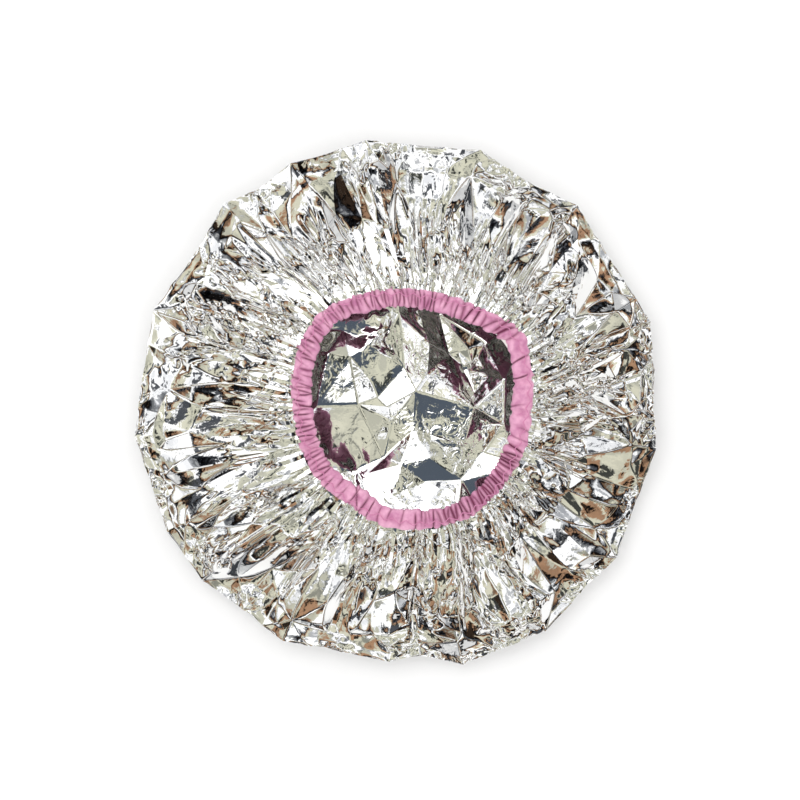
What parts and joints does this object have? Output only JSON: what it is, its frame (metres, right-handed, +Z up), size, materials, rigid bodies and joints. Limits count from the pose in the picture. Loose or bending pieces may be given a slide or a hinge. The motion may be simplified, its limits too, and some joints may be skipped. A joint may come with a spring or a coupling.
{
  "type": "foil hair cap",
  "caption": "Bouffant heat-retaining hair cap of crumpled metallised film, gathered into a fabric-bound elastic hem, lying crown-down with its head opening up.",
  "frame": {"origin": "on the surface the cap lies on, under the centre of the box round its outline", "axes": "+Z up, out of the head opening; the elastic hem's centre is offset towards +X; +Y is towards the hem's two softly squared corners"},
  "size_m": [0.28, 0.28, 0.0486],
  "materials": {
    "film": "crumpled mirror-bright metallised film",
    "binding": "matte woven tape, gathered",
    "elastic": "knitted elastic, matte",
    "thread": "spun polyester thread"
  },
  "bodies": {
    "crown": {"crown_panel": "film", "rim_fold": "film", "gathered_panel": "film"},
    "hem": {"binding_tape": "binding", "elastic_band": "elastic", "needle_thread": "thread", "looper_thread": "thread"}
  },
  "joints": [
    {"name": "hem_lift", "type": "slide", "parent": "crown", "child": "hem", "axis": [0, 0, 1], "range_m": [-0.015, 0.045], "stiffness_N_per_m": 25, "deforming": ["gathered_panel"]}
  ]
}
